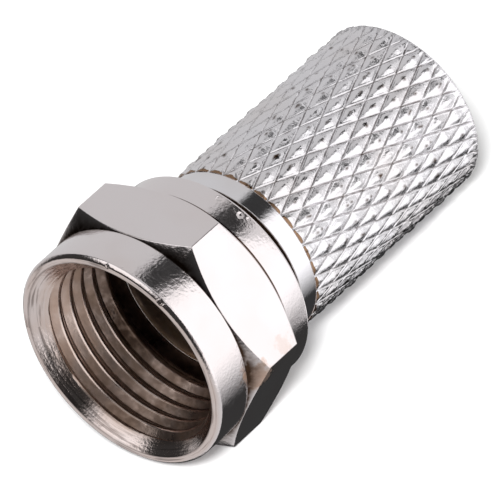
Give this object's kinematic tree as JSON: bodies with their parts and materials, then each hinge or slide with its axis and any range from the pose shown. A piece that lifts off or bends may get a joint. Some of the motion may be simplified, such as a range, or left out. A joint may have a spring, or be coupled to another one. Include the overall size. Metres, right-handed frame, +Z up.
{
  "type": "f connector",
  "caption": "Twist-on male coaxial connector: a hexagon coupling nut with an internal thread that turns on a diamond-knurled metal body bored for the cable.",
  "frame": {"origin": "centre of the footprint of the box, on the surface that the connector lies on", "axes": "+Z up; the connector's axis lies in the YZ plane, with the nut's open face towards -Y and the cable entry towards +Y, and drops 4.5 degrees towards the cable entry, as it comes to rest; +X to its right seen from behind the nut's open face"},
  "size_m": [0.0128, 0.0206, 0.0113],
  "materials": {
    "nickel": "polished nickel plate on brass, brown tarnish in the threads",
    "knurled_nickel": "bright nickel plate on a rolled diamond knurl, bare brass in the turned front step"
  },
  "bodies": {
    "connector_body": {"knurled_body": "knurled_nickel"},
    "nut": {"coupling_nut": "nickel"}
  },
  "joints": [
    {"name": "nut_spin", "type": "hinge", "parent": "connector_body", "child": "nut", "pos_m": [0, -0.00369, 0.00539], "axis": [0, 0.997, -0.0778], "continuous": true}
  ]
}
